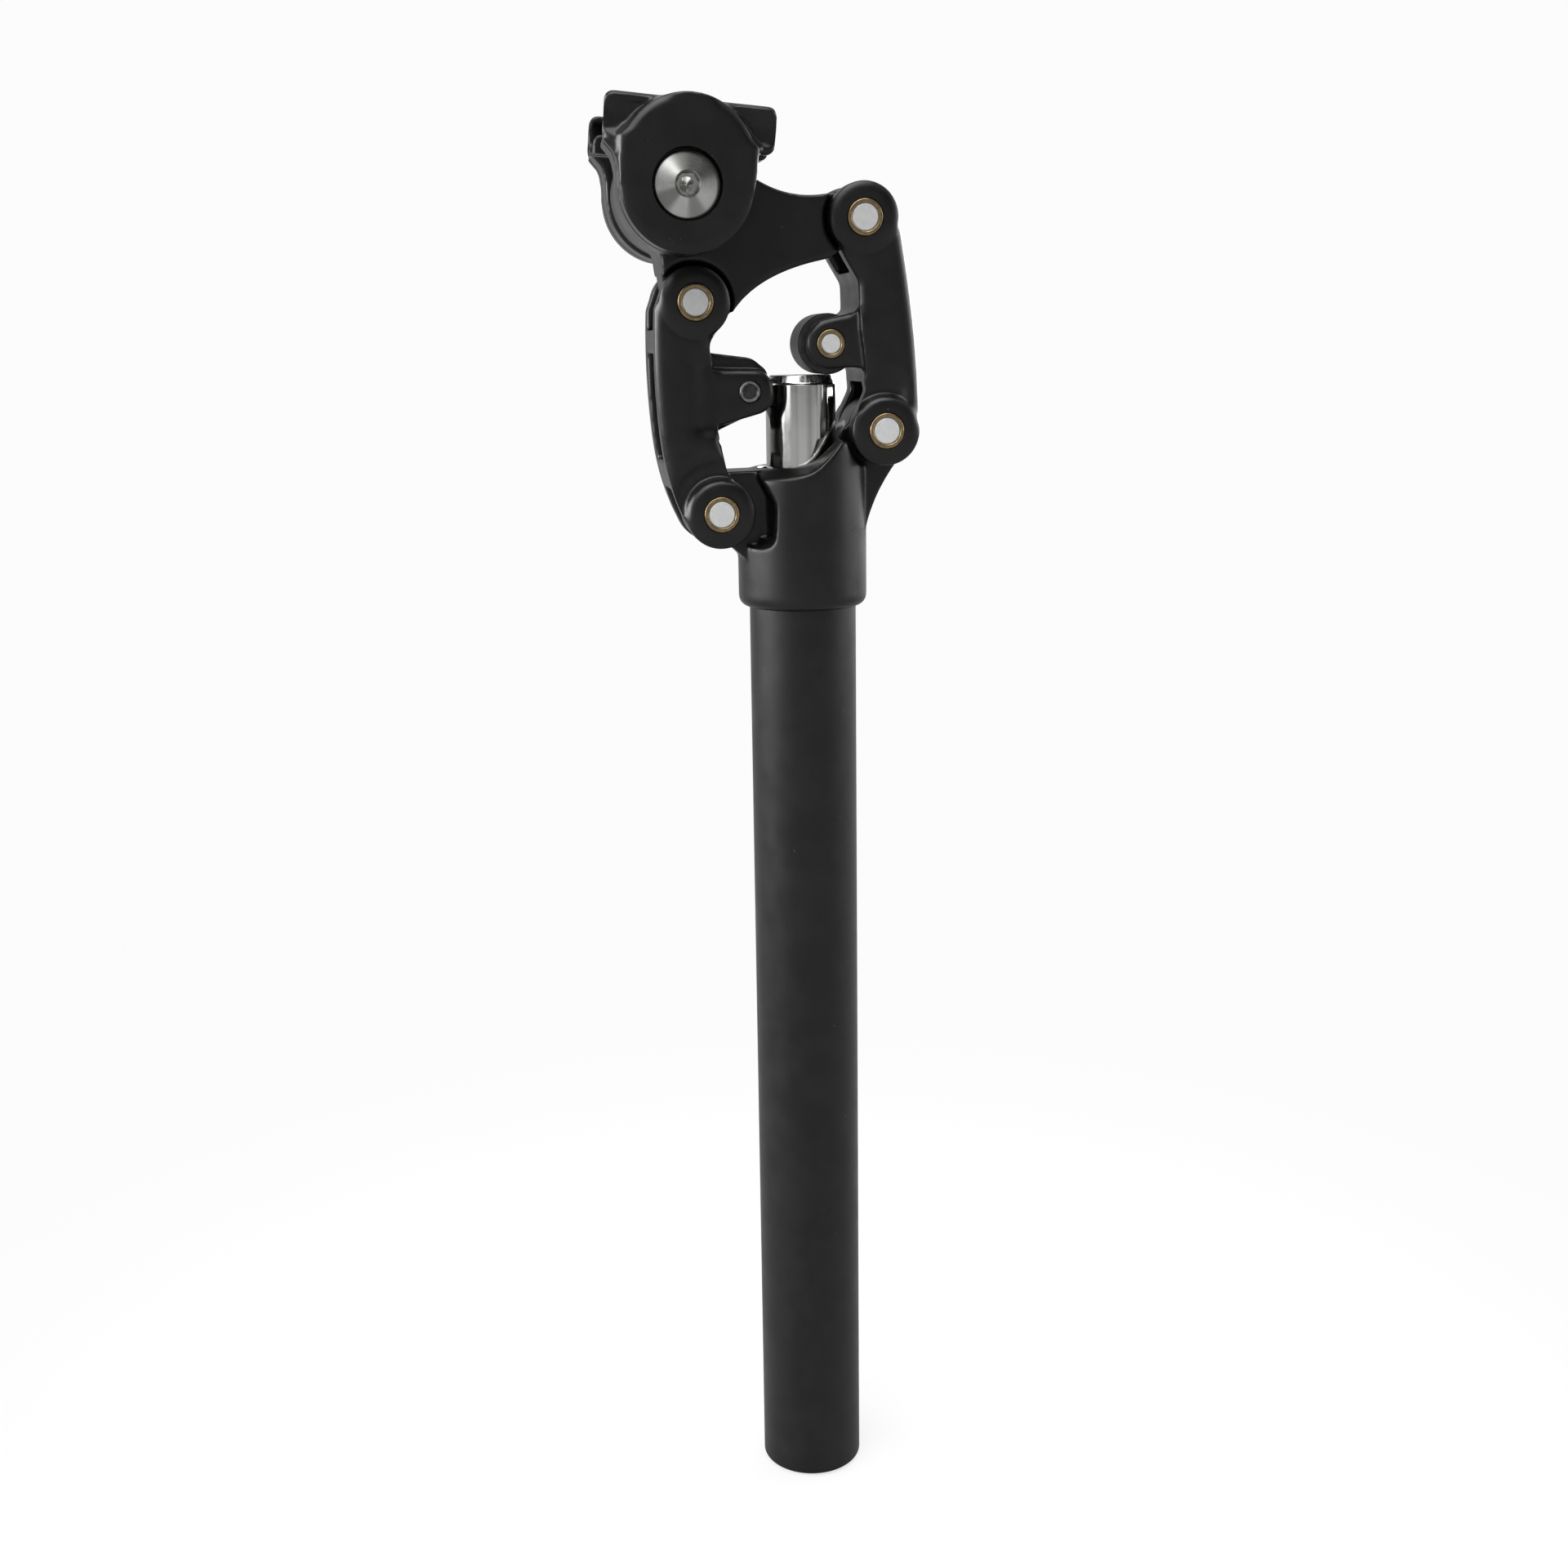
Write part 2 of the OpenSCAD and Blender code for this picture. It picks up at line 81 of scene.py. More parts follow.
def flat(point):
    """The same point on the bicycle's centre plane."""
    return Vector((point[0], 0, point[2]))


BUMPER = flat(middle("bumper_pin"))
LINK_HALF = box_mm("lower_pivot_pins")[1].y
EAR_HALF = box_mm("roller_axle")[1].y
PIN_R = (size_mm("upper_pivot_pins")[2] - (FRONT_HIGH.z - REAR_HIGH.z)) / 2
BUSH_R = (size_mm("front_link_bushes")[0] - (FRONT_LOW.x - FRONT_HIGH.x)) / 2
AXLE_R = size_mm("roller_axle")[2] / 2
ROLLER_BUSH_R = size_mm("roller_bushes")[2] / 2
BUMPER_PIN_R = size_mm("bumper_pin")[2] / 2
ROLLER_R = size_mm("roller")[2] / 2
ROLLER_HALF = box_mm("roller")[1].y
TUBE_R = box_mm("seat_tube")[1].x
TUBE_TOP = box_mm("seat_tube")[1].z
COLLAR_BOTTOM = box_mm("lower_body")[0].z
PLUNGER_R = 8.75
BODY_BORE_R = box_mm("guide_bush")[1].x
CLAMP_FACE = -box_mm("outer_clamp_near")[0].y
CLAMP_EAR_FACE = CLAMP_FACE - 1.4
CLAMP_BOLT_R = 4.2
HEAD_SEAT_R = 8.1
BOLT_HEAD_R = 7.15
CLAMP_TILT = math.radians(5.4)
LINK_DISC_R = 8.6
# Distances from the centre plane between which the side walls of a link and of an outer clamp are found.
LINK_WALLS = (8.6, 9.8)
CLAMP_WALLS = (23.4, 25.6)
# Half the length of a cutter that goes right through, and how far a plug stops short of a face.
THROUGH = 60
SHY = 0.05
VOXEL = 0.36
# Angle in degrees above which an edge of a turned piece is shaded sharp.
TURNED_SHARP = 30


# ---- Numbers to shapes ------------------------------------------------------


def ramp(low, high, value):
    """0 below low, 1 above high and smooth between them."""
    t = np.clip((value - low) / (high - low), 0, 1)
    return t * t * (3 - 2 * t)


def corner_points(a, b, c, radius, steps):
    """The arc that rounds corner b between a and c in a 2-D path."""
    u, v = (a - b).normalized(), (c - b).normalized()
    half = math.acos(max(-1, min(1, u.dot(v)))) / 2
    if half > math.radians(89):
        return [b]
    reach = min(radius / math.tan(half), (a - b).length * 0.49, (c - b).length * 0.49)
    radius = reach * math.tan(half)
    centre = b + (u + v).normalized() * radius / math.sin(half)
    first, last = b + u * reach - centre, b + v * reach - centre
    sweep = (math.atan2(last.y, last.x) - math.atan2(first.y, first.x) + math.pi) % (2 * math.pi) - math.pi
    start = math.atan2(first.y, first.x)
    angles = [start + sweep * i / steps for i in range(steps + 1)]
    return [centre + Vector((math.cos(t), math.sin(t))) * radius for t in angles]


def soft_path(points, closed, steps=5):
    """A path through (r, h) or (r, h, corner radius) points with its corners rounded."""
    flat_points = [Vector(p[:2]) for p in points]
    path = []
    for i, p in enumerate(points):
        ends = not closed and i in (0, len(points) - 1)
        if len(p) == 3 and not ends:
            before, after = flat_points[i - 1], flat_points[(i + 1) % len(points)]
            path += corner_points(before, flat_points[i], after, p[2], steps)
        else:
            path.append(flat_points[i])
    return supported(path, closed)


def supported(path, closed):
    """The path with a point near each end of its long straight runs, so that flats are shaded flat."""
    near, shortest = 0.04, 0.35
    result = []
    for i, p in enumerate(path):
        result.append(p)
        if i == len(path) - 1 and not closed:
            break
        run = path[(i + 1) % len(path)] - p
        if run.length > shortest:
            step = run.normalized() * near
            result += [p + step, p + run - step]
    return result


def new_mesh(name, vertices, faces):
    mesh = bpy.data.meshes.new(name)
    mesh.from_pydata([tuple(v) for v in vertices], [], faces)
    tidy = bmesh.new()
    tidy.from_mesh(mesh)
    bmesh.ops.recalc_face_normals(tidy, faces=tidy.faces)
    tidy.to_mesh(mesh)
    tidy.free()
    return mesh


def lathe(points, centre, axis, closed=False, turns=TURNS, steps=5):
    """A turned mesh. Heights run along the axis, Y or Z, from the centre."""
    path = soft_path(points, closed, steps)
    vertices, rings, faces = [], [], []
    for p in path:
        on_axis = p.x < 1e-6
        first = len(vertices)
        rings.append([first + (0 if on_axis else i) for i in range(turns)])
        for i in range(1 if on_axis else turns):
            t = 2 * math.pi * i / turns
            a, b = p.x * math.cos(t), p.x * math.sin(t)
            vertices.append(centre + (Vector((a, p.y, b)) if axis == "Y" else Vector((a, b, p.y))))
    for here, there in zip(rings, rings[1:] + rings[:1] if closed else rings[1:]):
        for i in range(turns):
            j = (i + 1) % turns
            faces.append(list(dict.fromkeys((here[i], here[j], there[j], there[i]))))
    return new_mesh("turned", vertices, faces)


def prism(points, low, high):
    """A straight prism across the bicycle through [x, z] points."""
    n = len(points)
    vertices = [Vector((p[0], low, p[1])) for p in points] + [Vector((p[0], high, p[1])) for p in points]
    faces = [list(range(n)), list(range(2 * n - 1, n - 1, -1))]
    faces += [[i, i + n, (i + 1) % n + n, (i + 1) % n] for i in range(n)]
    return new_mesh("prism", vertices, faces)


def bar(point, r, low, high, turns=TURNS):
    """A plain round bar across the bicycle, used to fill or to cut a bore."""
    return lathe([(0, low), (r, low), (r, high), (0, high)], flat(point), "Y", turns=turns)


def hole(point, r):
    """A round cutter right across the bicycle."""
    return bar(point, r, -THROUGH, THROUGH)


def bore_cutter(point, r, faces_at, flare=0.25):
    """A round cutter across the bicycle that breaks the edge of the bore at each |y| face."""
    path = [(0, -THROUGH), (r + flare, -THROUGH)]
    low, high = faces_at
    path += [(r + flare, low - 0.001), (r, low + flare), (r, high - flare), (r + flare, high + 0.001)]
    path += [(r + flare, THROUGH), (0, THROUGH)]
    return lathe(path, flat(point), "Y")


def join_meshes(meshes):
    joined = bmesh.new()
    for mesh in meshes:
        joined.from_mesh(mesh)
    result = bpy.data.meshes.new("joined")
    joined.to_mesh(result)
    joined.free()
    return result


def evaluated(obj):
    """The object's mesh with its modifiers applied."""
    graph = bpy.context.evaluated_depsgraph_get()
    graph.update()
    return bpy.data.meshes.new_from_object(obj.evaluated_get(graph))


def with_modifiers(mesh, add):
    """The mesh after the modifiers that add(object) puts on a scratch object."""
    scratch = bpy.data.objects.new("scratch", mesh)
    bpy.context.scene.collection.objects.link(scratch)
    add(scratch)
    result = evaluated(scratch)
    bpy.data.objects.remove(scratch)
    return result


def cut(mesh, cutters):
    """The mesh minus the cutters."""
    for cutter in cutters:
        tool = bpy.data.objects.new("cutter", cutter)
        bpy.context.scene.collection.objects.link(tool)

        def add(scratch, tool=tool):
            modifier = scratch.modifiers.new("cut", "BOOLEAN")
            modifier.operation = "DIFFERENCE"
            modifier.solver = "MANIFOLD"
            modifier.object = tool

        mesh = with_modifiers(mesh, add)
        bpy.data.objects.remove(tool)
    return mesh


def cad_mesh(node):
    """A watertight copy of a CAD node in millimetres."""
    copy = bmesh.new()
    copy.from_mesh(frame["nodes"][node].data)
    bmesh.ops.remove_doubles(copy, verts=copy.verts, dist=2 * MICRON)
    bmesh.ops.scale(copy, vec=(1 / MM,) * 3, verts=copy.verts)
    mesh = bpy.data.meshes.new(node)
    copy.to_mesh(mesh)
    copy.free()
    return mesh


def forged(node, plugs, rounds, sculpt=None, cutters=()):
    """A CAD node with its edges rounded and its inner corners filled, as a forging has them. Plugs fill
    the bores while this is done, so that the cutters can open them again with a crisp edge."""

    def remesh(scratch):
        modifier = scratch.modifiers.new("skin", "REMESH")
        modifier.mode = "VOXEL"
        modifier.voxel_size = VOXEL

    def soften(scratch):
        modifier = scratch.modifiers.new("round", "SMOOTH")
        modifier.factor = 0.5
        modifier.iterations = rounds

    mesh = with_modifiers(join_meshes([cad_mesh(node), *plugs]), remesh)
    if sculpt:
        points = vertex_array(mesh)
        mesh.vertices.foreach_set("co", sculpt(points).ravel())
        mesh.update()
    return cut(with_modifiers(mesh, soften), cutters)


def vertex_array(mesh):
    points = np.empty(len(mesh.vertices) * 3, np.float64)
    mesh.vertices.foreach_get("co", points)
    return points.reshape(-1, 3)


def piece(name, mesh, body, replaced, materials, choose=None, sharp=38):
    """Puts a finished mesh into the scene, riding on a body. choose gives each face centre, in
    millimetres, the index of its material."""
    mesh.name = name
    mesh.materials.clear()
    for material in materials:
        mesh.materials.append(material)
    centres = np.empty(len(mesh.polygons) * 3)
    mesh.polygons.foreach_get("center", centres)
    index = choose(centres.reshape(-1, 3)) if choose else np.zeros(len(mesh.polygons))
    mesh.polygons.foreach_set("material_index", index.astype(np.int32))
    mesh.transform(Matrix.Scale(MM, 4))
    mesh.polygons.foreach_set("use_smooth", np.ones(len(mesh.polygons), bool))
    mesh.set_sharp_from_angle(angle=math.radians(sharp))
    obj = bpy.data.objects.new(name, mesh)
    bpy.context.scene.collection.objects.link(obj)
    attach(obj, body)
    if replaced:
        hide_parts(*replaced)
    return obj


# ---- Materials --------------------------------------------------------------


class Finish:
    """A node material built from a Principled shader and object coordinates."""

    def __init__(self, name, colour, metallic, roughness, specular=0.5):
        self.material = bpy.data.materials.new(name)
        self.material.use_nodes = True
        self.tree = self.material.node_tree
        self.shader = self.tree.nodes["Principled BSDF"]
        self.shader.inputs["Base Color"].default_value = (*colour, 1)
        self.shader.inputs["Metallic"].default_value = metallic
        self.shader.inputs["Roughness"].default_value = roughness
        self.shader.inputs["Specular IOR Level"].default_value = specular
        self.place = self.node("ShaderNodeTexCoord").outputs["Object"]
        self.bumped = None

    def node(self, kind, **settings):
        made = self.tree.nodes.new(kind)
        for key, value in settings.items():
            setattr(made, key, value)
        return made

    def link(self, source, target):
        self.tree.links.new(source, target)

    def noise(self, scale, detail=3.0, roughness=0.55, where=None):
        made = self.node("ShaderNodeTexNoise")
        made.inputs["Scale"].default_value = scale
        made.inputs["Detail"].default_value = detail
        made.inputs["Roughness"].default_value = roughness
        self.link(where or self.place, made.inputs["Vector"])
        return made.outputs["Fac"]

    def rescale(self, source, from_low, from_high, to_low, to_high):
        made = self.node("ShaderNodeMapRange", interpolation_type="SMOOTHSTEP")
        values = (from_low, from_high, to_low, to_high)
        for key, value in zip(("From Min", "From Max", "To Min", "To Max"), values):
            made.inputs[key].default_value = value
        self.link(source, made.inputs["Value"])
        return made.outputs["Result"]

    def maths(self, operation, a, b=None):
        made = self.node("ShaderNodeMath", operation=operation)
        for socket, value in zip(made.inputs, (a, b)):
            if isinstance(value, (int, float)):
                socket.default_value = value
            elif value is not None:
                self.link(value, socket)
        return made.outputs[0]

    def vector(self, operation, a, b):
        made = self.node("ShaderNodeVectorMath", operation=operation)
        self.link(a, made.inputs[0])
        made.inputs[1].default_value = b
        return made

    def blend_colours(self, factor, low, high):
        made = self.node("ShaderNodeMix", data_type="RGBA")
        made.inputs["A"].default_value = (*low, 1)
        if isinstance(high, tuple):
            made.inputs["B"].default_value = (*high, 1)
        else:
            self.link(high, made.inputs["B"])
        self.link(factor, made.inputs["Factor"])
        return made.outputs["Result"]

    def colour(self, factor, low, high):
        self.link(self.blend_colours(factor, low, high), self.shader.inputs["Base Color"])
        return self

    def speck_and_reflection_colour(self, factor, overlay):
        """Lays a second colour over the base colour where the factor is 1: dust specks, and painted
        reflection on turned metal.
        """
        base = self.shader.inputs["Base Color"]
        made = self.node("ShaderNodeMix", data_type="RGBA")
        if base.links:
            self.link(base.links[0].from_socket, made.inputs["A"])
        else:
            made.inputs["A"].default_value = base.default_value
        made.inputs["B"].default_value = (*overlay, 1)
        self.link(factor, made.inputs["Factor"])
        self.link(made.outputs["Result"], base)
        return self

    def roughness(self, factor, low, high):
        self.link(self.rescale(factor, 0.3, 0.7, low, high), self.shader.inputs["Roughness"])
        return self

    def bump(self, height, depth_mm, strength=1.0):
        made = self.node("ShaderNodeBump")
        made.inputs["Distance"].default_value = depth_mm * MM
        made.inputs["Strength"].default_value = strength
        self.link(height, made.inputs["Height"])
        if self.bumped:
            self.link(self.bumped, made.inputs["Normal"])
        self.bumped = made.outputs["Normal"]
        self.link(self.bumped, self.shader.inputs["Normal"])
        return self

    def from_axis(self, centre, axis):
        """Distance from an axis, and the angle around it, in metres and radians."""
        offset = self.vector("SUBTRACT", self.place, tuple(centre * MM)).outputs["Vector"]
        split = self.node("ShaderNodeSeparateXYZ")
        self.link(offset, split.inputs["Vector"])
        a = split.outputs["X"]
        b = split.outputs["Z" if axis == "Y" else "Y"]
        squares = self.maths("ADD", self.maths("MULTIPLY", a, a), self.maths("MULTIPLY", b, b))
        return self.maths("SQRT", squares), self.maths("ARCTAN2", b, a)

    def combined(self, first, second=None, scale=1.0):
        """A coordinate made from one or two values."""
        made = self.node("ShaderNodeCombineXYZ")
        self.link(first, made.inputs["X"])
        if second is not None:
            self.link(self.maths("MULTIPLY", second, scale), made.inputs["Y"])
        return made.outputs["Vector"]


def paint(name, colour, grain_mm, depth_mm, rough_low, rough_high):
    """Satin black finish over a finely blasted surface."""
    f = Finish(name, colour, 0.0, (rough_low + rough_high) / 2, specular=0.45)
    lighter = tuple(c * 1.9 for c in colour)
    f.colour(f.rescale(f.noise(1 / (9 * MM), 4), 0.35, 0.7, 0, 1), colour, lighter)
    dust = f.rescale(f.noise(1 / (1.1 * MM), 2, 0.4), 0.775, 0.8, 0, 0.55)
    f.speck_and_reflection_colour(dust, (0.11, 0.11, 0.105))
    f.roughness(f.noise(1 / (5 * MM), 5), rough_low, rough_high)
    f.bump(f.noise(1 / (grain_mm * MM), 2, 0.6), depth_mm)
    f.bump(f.noise(1 / (2.6 * MM), 2), depth_mm * 1.6, 0.35)
    return f.material


# Painted reflection on a turned face: sectors whose colour is darkened, as turning marks look darker there
# under the lights. Direction and half width in degrees, and how dark each one is.
PAINTED_REFLECTION_SECTORS = ((95, 24, 0.75), (213, 17, 0.8), (288, 15, 0.65))


def turned(name, colour, second, metallic, rough, centre, axis, pitch_mm, depth_mm, streaks_and_painted_sectors=0.0):
    """Machined metal with rings about an axis, and faint streaked tone and anisotropic highlights around it.
    When streaks_and_painted_sectors is set, sectors of painted reflection also darken the colour around the
    axis.
    """
    f = Finish(name, colour, metallic, rough)
    radius, angle = f.from_axis(centre, axis)
    rings = f.noise(1 / (pitch_mm * MM), 3, 0.65, where=f.combined(radius))
    around = f.noise(1.0, 3, 0.6, where=f.combined(f.maths("MULTIPLY", angle, 1.6), radius, 300.0))
    mixed = f.maths("ADD", f.maths("MULTIPLY", rings, 0.5), f.maths("MULTIPLY", around, 0.5))
    f.colour(f.rescale(mixed, 0.35, 0.65, 0, 1), colour, second)
    f.roughness(rings, rough * 0.8, rough * 1.25)
    f.bump(rings, depth_mm)
    if streaks_and_painted_sectors:
        # Painted reflection: the colour is darkened in fixed sectors around the axis.
        dark = None
        for bearing, half, amount in PAINTED_REFLECTION_SECTORS:
            near = f.maths("COSINE", f.maths("SUBTRACT", angle, math.radians(bearing)))
            low, high = math.cos(math.radians(1.6 * half)), math.cos(math.radians(0.4 * half))
            sector = f.rescale(near, low, high, 0, amount)
            dark = sector if dark is None else f.maths("MAXIMUM", dark, sector)
        f.speck_and_reflection_colour(dark, tuple(c * 0.3 for c in second))
        f.shader.inputs["Anisotropic"].default_value = streaks_and_painted_sectors
        tangent = f.node("ShaderNodeTangent", direction_type="RADIAL", axis=axis)
        f.link(tangent.outputs["Tangent"], f.shader.inputs["Tangent"])
    return f.material


def ground(name, colour, second, metallic, rough, grain_mm, depth_mm):
    """Metal or plastic with an even fine grain."""
    f = Finish(name, colour, metallic, rough)
    fine = f.noise(1 / (grain_mm * MM), 3, 0.6)
    f.colour(f.rescale(f.noise(1 / (4 * grain_mm * MM), 4, 0.6), 0.35, 0.65, 0, 1), colour, second)
    f.roughness(fine, rough * 0.85, rough * 1.15)
    f.bump(fine, depth_mm)
    return f.material


BLACK = (0.0042, 0.0042, 0.004)
forged_black = paint("forged_black", BLACK, 0.24, 0.009, 0.27, 0.35)
tube_black = paint("tube_black", (0.0044, 0.0044, 0.0043), 0.3, 0.014, 0.3, 0.38)
bare_aluminium = ground("bare_aluminium", (0.7, 0.7, 0.7), (0.55, 0.55, 0.56), 1.0, 0.3, 0.15, 0.004)
pin_steel = ground("pin_steel", (0.74, 0.745, 0.74), (0.68, 0.69, 0.69), 0.15, 0.42, 0.3, 0.003)
dark_steel = ground("dark_steel", (0.07, 0.07, 0.072), (0.035, 0.035, 0.036), 0.7, 0.42, 0.3, 0.01)
staked_steel = ground("staked_steel", (0.4, 0.4, 0.4), (0.16, 0.16, 0.16), 1.0, 0.32, 0.5, 0.05)
roller_black = ground("roller_black", (0.02, 0.02, 0.021), (0.035, 0.035, 0.036), 0.0, 0.4, 0.5, 0.006)
rubber = ground("rubber_black", (0.012, 0.012, 0.0122), (0.02, 0.02, 0.0202), 0.0, 0.62, 0.35, 0.012)
seal_rubber = ground("seal_rubber", (0.01, 0.01, 0.01), (0.016, 0.016, 0.016), 0.0, 0.5, 0.4, 0.008)
washer_plastic = ground("washer_plastic", (0.62, 0.6, 0.53), (0.52, 0.5, 0.44), 0.0, 0.45, 0.5, 0.006)
black_plastic = ground("black_plastic", (0.014, 0.014, 0.0145), (0.024, 0.024, 0.0245), 0.0, 0.5, 0.5, 0.014)
white_plastic = ground("white_plastic", (0.68, 0.67, 0.62), (0.6, 0.59, 0.54), 0.0, 0.42, 0.6, 0.008)
guide_polymer = ground("guide_polymer", (0.33, 0.24, 0.1), (0.26, 0.19, 0.08), 0.0, 0.45, 0.5, 0.008)
spring_steel = ground("spring_steel", (0.3, 0.31, 0.33), (0.2, 0.21, 0.22), 1.0, 0.34, 0.4, 0.008)
elastomer = ground("cast_elastomer", (0.5, 0.29, 0.06), (0.42, 0.23, 0.045), 0.0, 0.38, 1.2, 0.02)


BRASS, DULL_BRASS = (0.43, 0.32, 0.18), (0.27, 0.2, 0.11)
front_brass = ground("front_brass", BRASS, DULL_BRASS, 1.0, 0.32, 0.25, 0.006)
rear_brass = ground("rear_brass", BRASS, DULL_BRASS, 1.0, 0.32, 0.25, 0.006)
roller_brass = turned("roller_brass", BRASS, DULL_BRASS, 1.0, 0.32, ROLLER, "Y", 0.12, 0.004)


# ---- Forged parts -----------------------------------------------------------


def from_point(points, centre):
    return np.hypot(points[:, 0] - centre.x, points[:, 2] - centre.z)


def push_in(points, depth):
    """Moves points towards the centre plane by depth, where they face outwards."""
    moved = points.copy()
    moved[:, 1] -= np.sign(points[:, 1]) * depth
    return moved


def wall_gap(points, low, high):
    """Distance in the centre plane from each point to the nearest side wall, which is the points
    whose distance from that plane is between low and high."""
    side = np.abs(points[:, 1])
    walls = points[(side > low) & (side < high)]
    tree = KDTree(len(walls))
    for i, (x, _, z) in enumerate(walls):
        tree.insert((x, z, 0), i)
    tree.balance()
    return np.array([tree.find((x, z, 0))[2] for x, _, z in points])


def fall(distance, width, depth):
    """How far a domed face has dropped at a distance from its edge."""
    return depth * (1 - np.sqrt(1 - np.clip(1 - distance / width, 0, 1) ** 2))


def limited(points, level):
    """Brings points that stand further out than the level down to it."""
    return push_in(points, np.maximum(0, np.abs(points[:, 1]) - level))


def link_level(points, gap, low, high, valley_depth, valley_end):
    """Face of a link: a domed bar that dips beside its lower round end, and two domed round ends."""
    r_low, r_high = from_point(points, low), from_point(points, high)
    above = ramp(-3.5, 2.5, points[:, 2] - low.z)
    beside = ramp(15.5, 10.6, r_low) * ramp(valley_end, valley_end - 4, points[:, 0] - low.x)
    valley = valley_depth * above * beside
    level = LINK_HALF - 0.9 - np.maximum(fall(gap, 4.6, 1.7), valley)
    for r in (r_low, r_high):
        disc = LINK_HALF - fall(LINK_DISC_R - r, 4.2, 1.5)
        level = np.where(r < LINK_DISC_R, disc, level)
    return level


def sculpt_front_link(points):
    """The link's face, and the lower ears that carry the roller."""
    gap = wall_gap(points, *LINK_WALLS)
    level = link_level(points, gap, FRONT_LOW, FRONT_HIGH, 1.8, 7.0)
    ears = (points[:, 0] < ROLLER.x + 5) & (np.abs(points[:, 2] - ROLLER.z) < 9)
    return limited(points, np.where(ears, EAR_HALF - fall(gap, 2.6, 1.1), level))


def sculpt_rear_link(points):
    """The link's face slopes broadly down to the bumper's arm."""
    gap = wall_gap(points, *LINK_WALLS)
    level = link_level(points, gap, REAR_LOW, REAR_HIGH, 2.2, 9.0)
    arm = ramp(286.0, 290.0, points[:, 2]) * ramp(309.0, 304.5, points[:, 2])
    slope = ramp(-31.5, -22.5, points[:, 0]) * arm
    level = level - np.maximum(0, level - EAR_HALF) * slope
    ears = (points[:, 0] > -22.0) & (arm > 0)
    return limited(points, np.where(ears, EAR_HALF - fall(gap, 2.6, 1.1), level))


def clamp_local(points):
    """Coordinates about the clamp bolt with the clamp's tilt removed: along the rails, and up."""
    x, z = points[:, 0] - CLAMP.x, points[:, 2] - CLAMP.z
    c, s = math.cos(CLAMP_TILT), math.sin(CLAMP_TILT)
    return x * c - z * s, x * s + z * c


def clamp_prism(outline, low, high):
    """A prism from an outline in the clamp's own coordinates."""
    c, s = math.cos(CLAMP_TILT), math.sin(CLAMP_TILT)
    return prism([(CLAMP.x + a * c + u * s, CLAMP.z - a * s + u * c) for a, u in outline], low, high)


def mirrored(outline):
    """The outline on the other side of the clamp bolt."""
    return [(-a, u) for a, u in reversed(outline)]


# Outlines in the clamp's own coordinates: the fillet under the rear ear, and the disc's shoulder.
EAR_FILLET = [(-19.6, 8.3), (-18.2, 6.9), (-17.1, 5.9), (-16.3, 4.2), (-15.7, 2.0), (-15.3, -1.5),
              (-12.0, -1.5), (-12.0, 8.4)]
SHOULDER = [(-15.4, -1.5), (-15.85, 9.3), (-11.0, 13.8), (0.0, 14.0), (0.0, -1.5)]


def disc_inset(points):
    """Distance inside the outline of the clamp's disc and its two shoulders."""
    along, up = clamp_local(points)
    along = np.abs(along)
    round_part = 15.4 - np.hypot(along, up - np.clip(up, 0, 4.1))
    shoulder = np.minimum.reduce([15.85 - along, 17.68 - 0.676 * along - 0.737 * up, up + 1.5])
    return np.maximum(round_part, shoulder)


def sculpt_outer_clamp(points):
    """A domed disc, and ears that are hollow beside it and fall away towards their ends."""
    gap = wall_gap(points, *CLAMP_WALLS)
    inset = disc_inset(points)
    ear = CLAMP_EAR_FACE - 0.15 * np.exp(-(((inset + 2.2) / 1.6) ** 2)) - fall(gap, 5.0, 1.9)
    return limited(points, np.where(inset > -0.45, CLAMP_FACE - fall(np.maximum(inset, 0), 2.6, 0.95), ear))


def clamp_piece(node, side, face, inner, is_outer):
    """One clamp half, its bolt hole and, on the outer half, the seat for the bolt head or the nut."""

    def span(near, far):
        return sorted((side * near, side * far))

    ear_top = CLAMP_EAR_FACE if is_outer else face
    plugs = [bar(CLAMP, HEAD_SEAT_R + 0.6, *span(inner + SHY, face - SHY))]
    cutters = [hole(CLAMP, CLAMP_BOLT_R)]
    plugs.append(clamp_prism(EAR_FILLET, *span(inner + SHY, ear_top - SHY)))
    if not is_outer:
        return forged(node, plugs, rounds=8, cutters=cutters)
    for outline in (SHOULDER, mirrored(SHOULDER)):
        plugs.append(clamp_prism(outline, *span(CLAMP_EAR_FACE - 1, face - SHY)))
    mouth_r = HEAD_SEAT_R + 0.12
    seat_path = [(0, face - 4.2), (HEAD_SEAT_R, face - 4.2), (HEAD_SEAT_R, face - 0.2), (mouth_r, face + 0.1),
                 (mouth_r, face + 3), (0, face + 3)]
    cutters.append(lathe([(r, side * h) for r, h in seat_path], flat(CLAMP), "Y"))
    return forged(node, plugs, rounds=14, sculpt=sculpt_outer_clamp, cutters=cutters)


def link_piece(node, ends, extra_plugs, extra_cutters, sculpt, rounds):
    """A link with a bushed bore at both ends, and what its ears need."""
    plugs = [bar(end, BUSH_R + 0.5, *span) for end in ends for span in ((-LINK_HALF, -8), (8, LINK_HALF))]
    cutters = [bore_cutter(end, BUSH_R + 0.02, (-LINK_HALF, LINK_HALF)) for end in ends]
    return forged(node, plugs + extra_plugs, rounds=rounds, sculpt=sculpt, cutters=cutters + extra_cutters)


front_link = link_piece(
    "front_link",
    (FRONT_LOW, FRONT_HIGH),
    [bar(ROLLER, ROLLER_BUSH_R + 0.5, *span) for span in ((-EAR_HALF, -7.2), (7.2, EAR_HALF))],
    [bore_cutter(ROLLER, ROLLER_BUSH_R + 0.02, (-EAR_HALF, EAR_HALF), 0.2)],
    sculpt_front_link,
    24,
)
piece("front_link_forging", front_link, "front_link", ["front_link"], [forged_black])

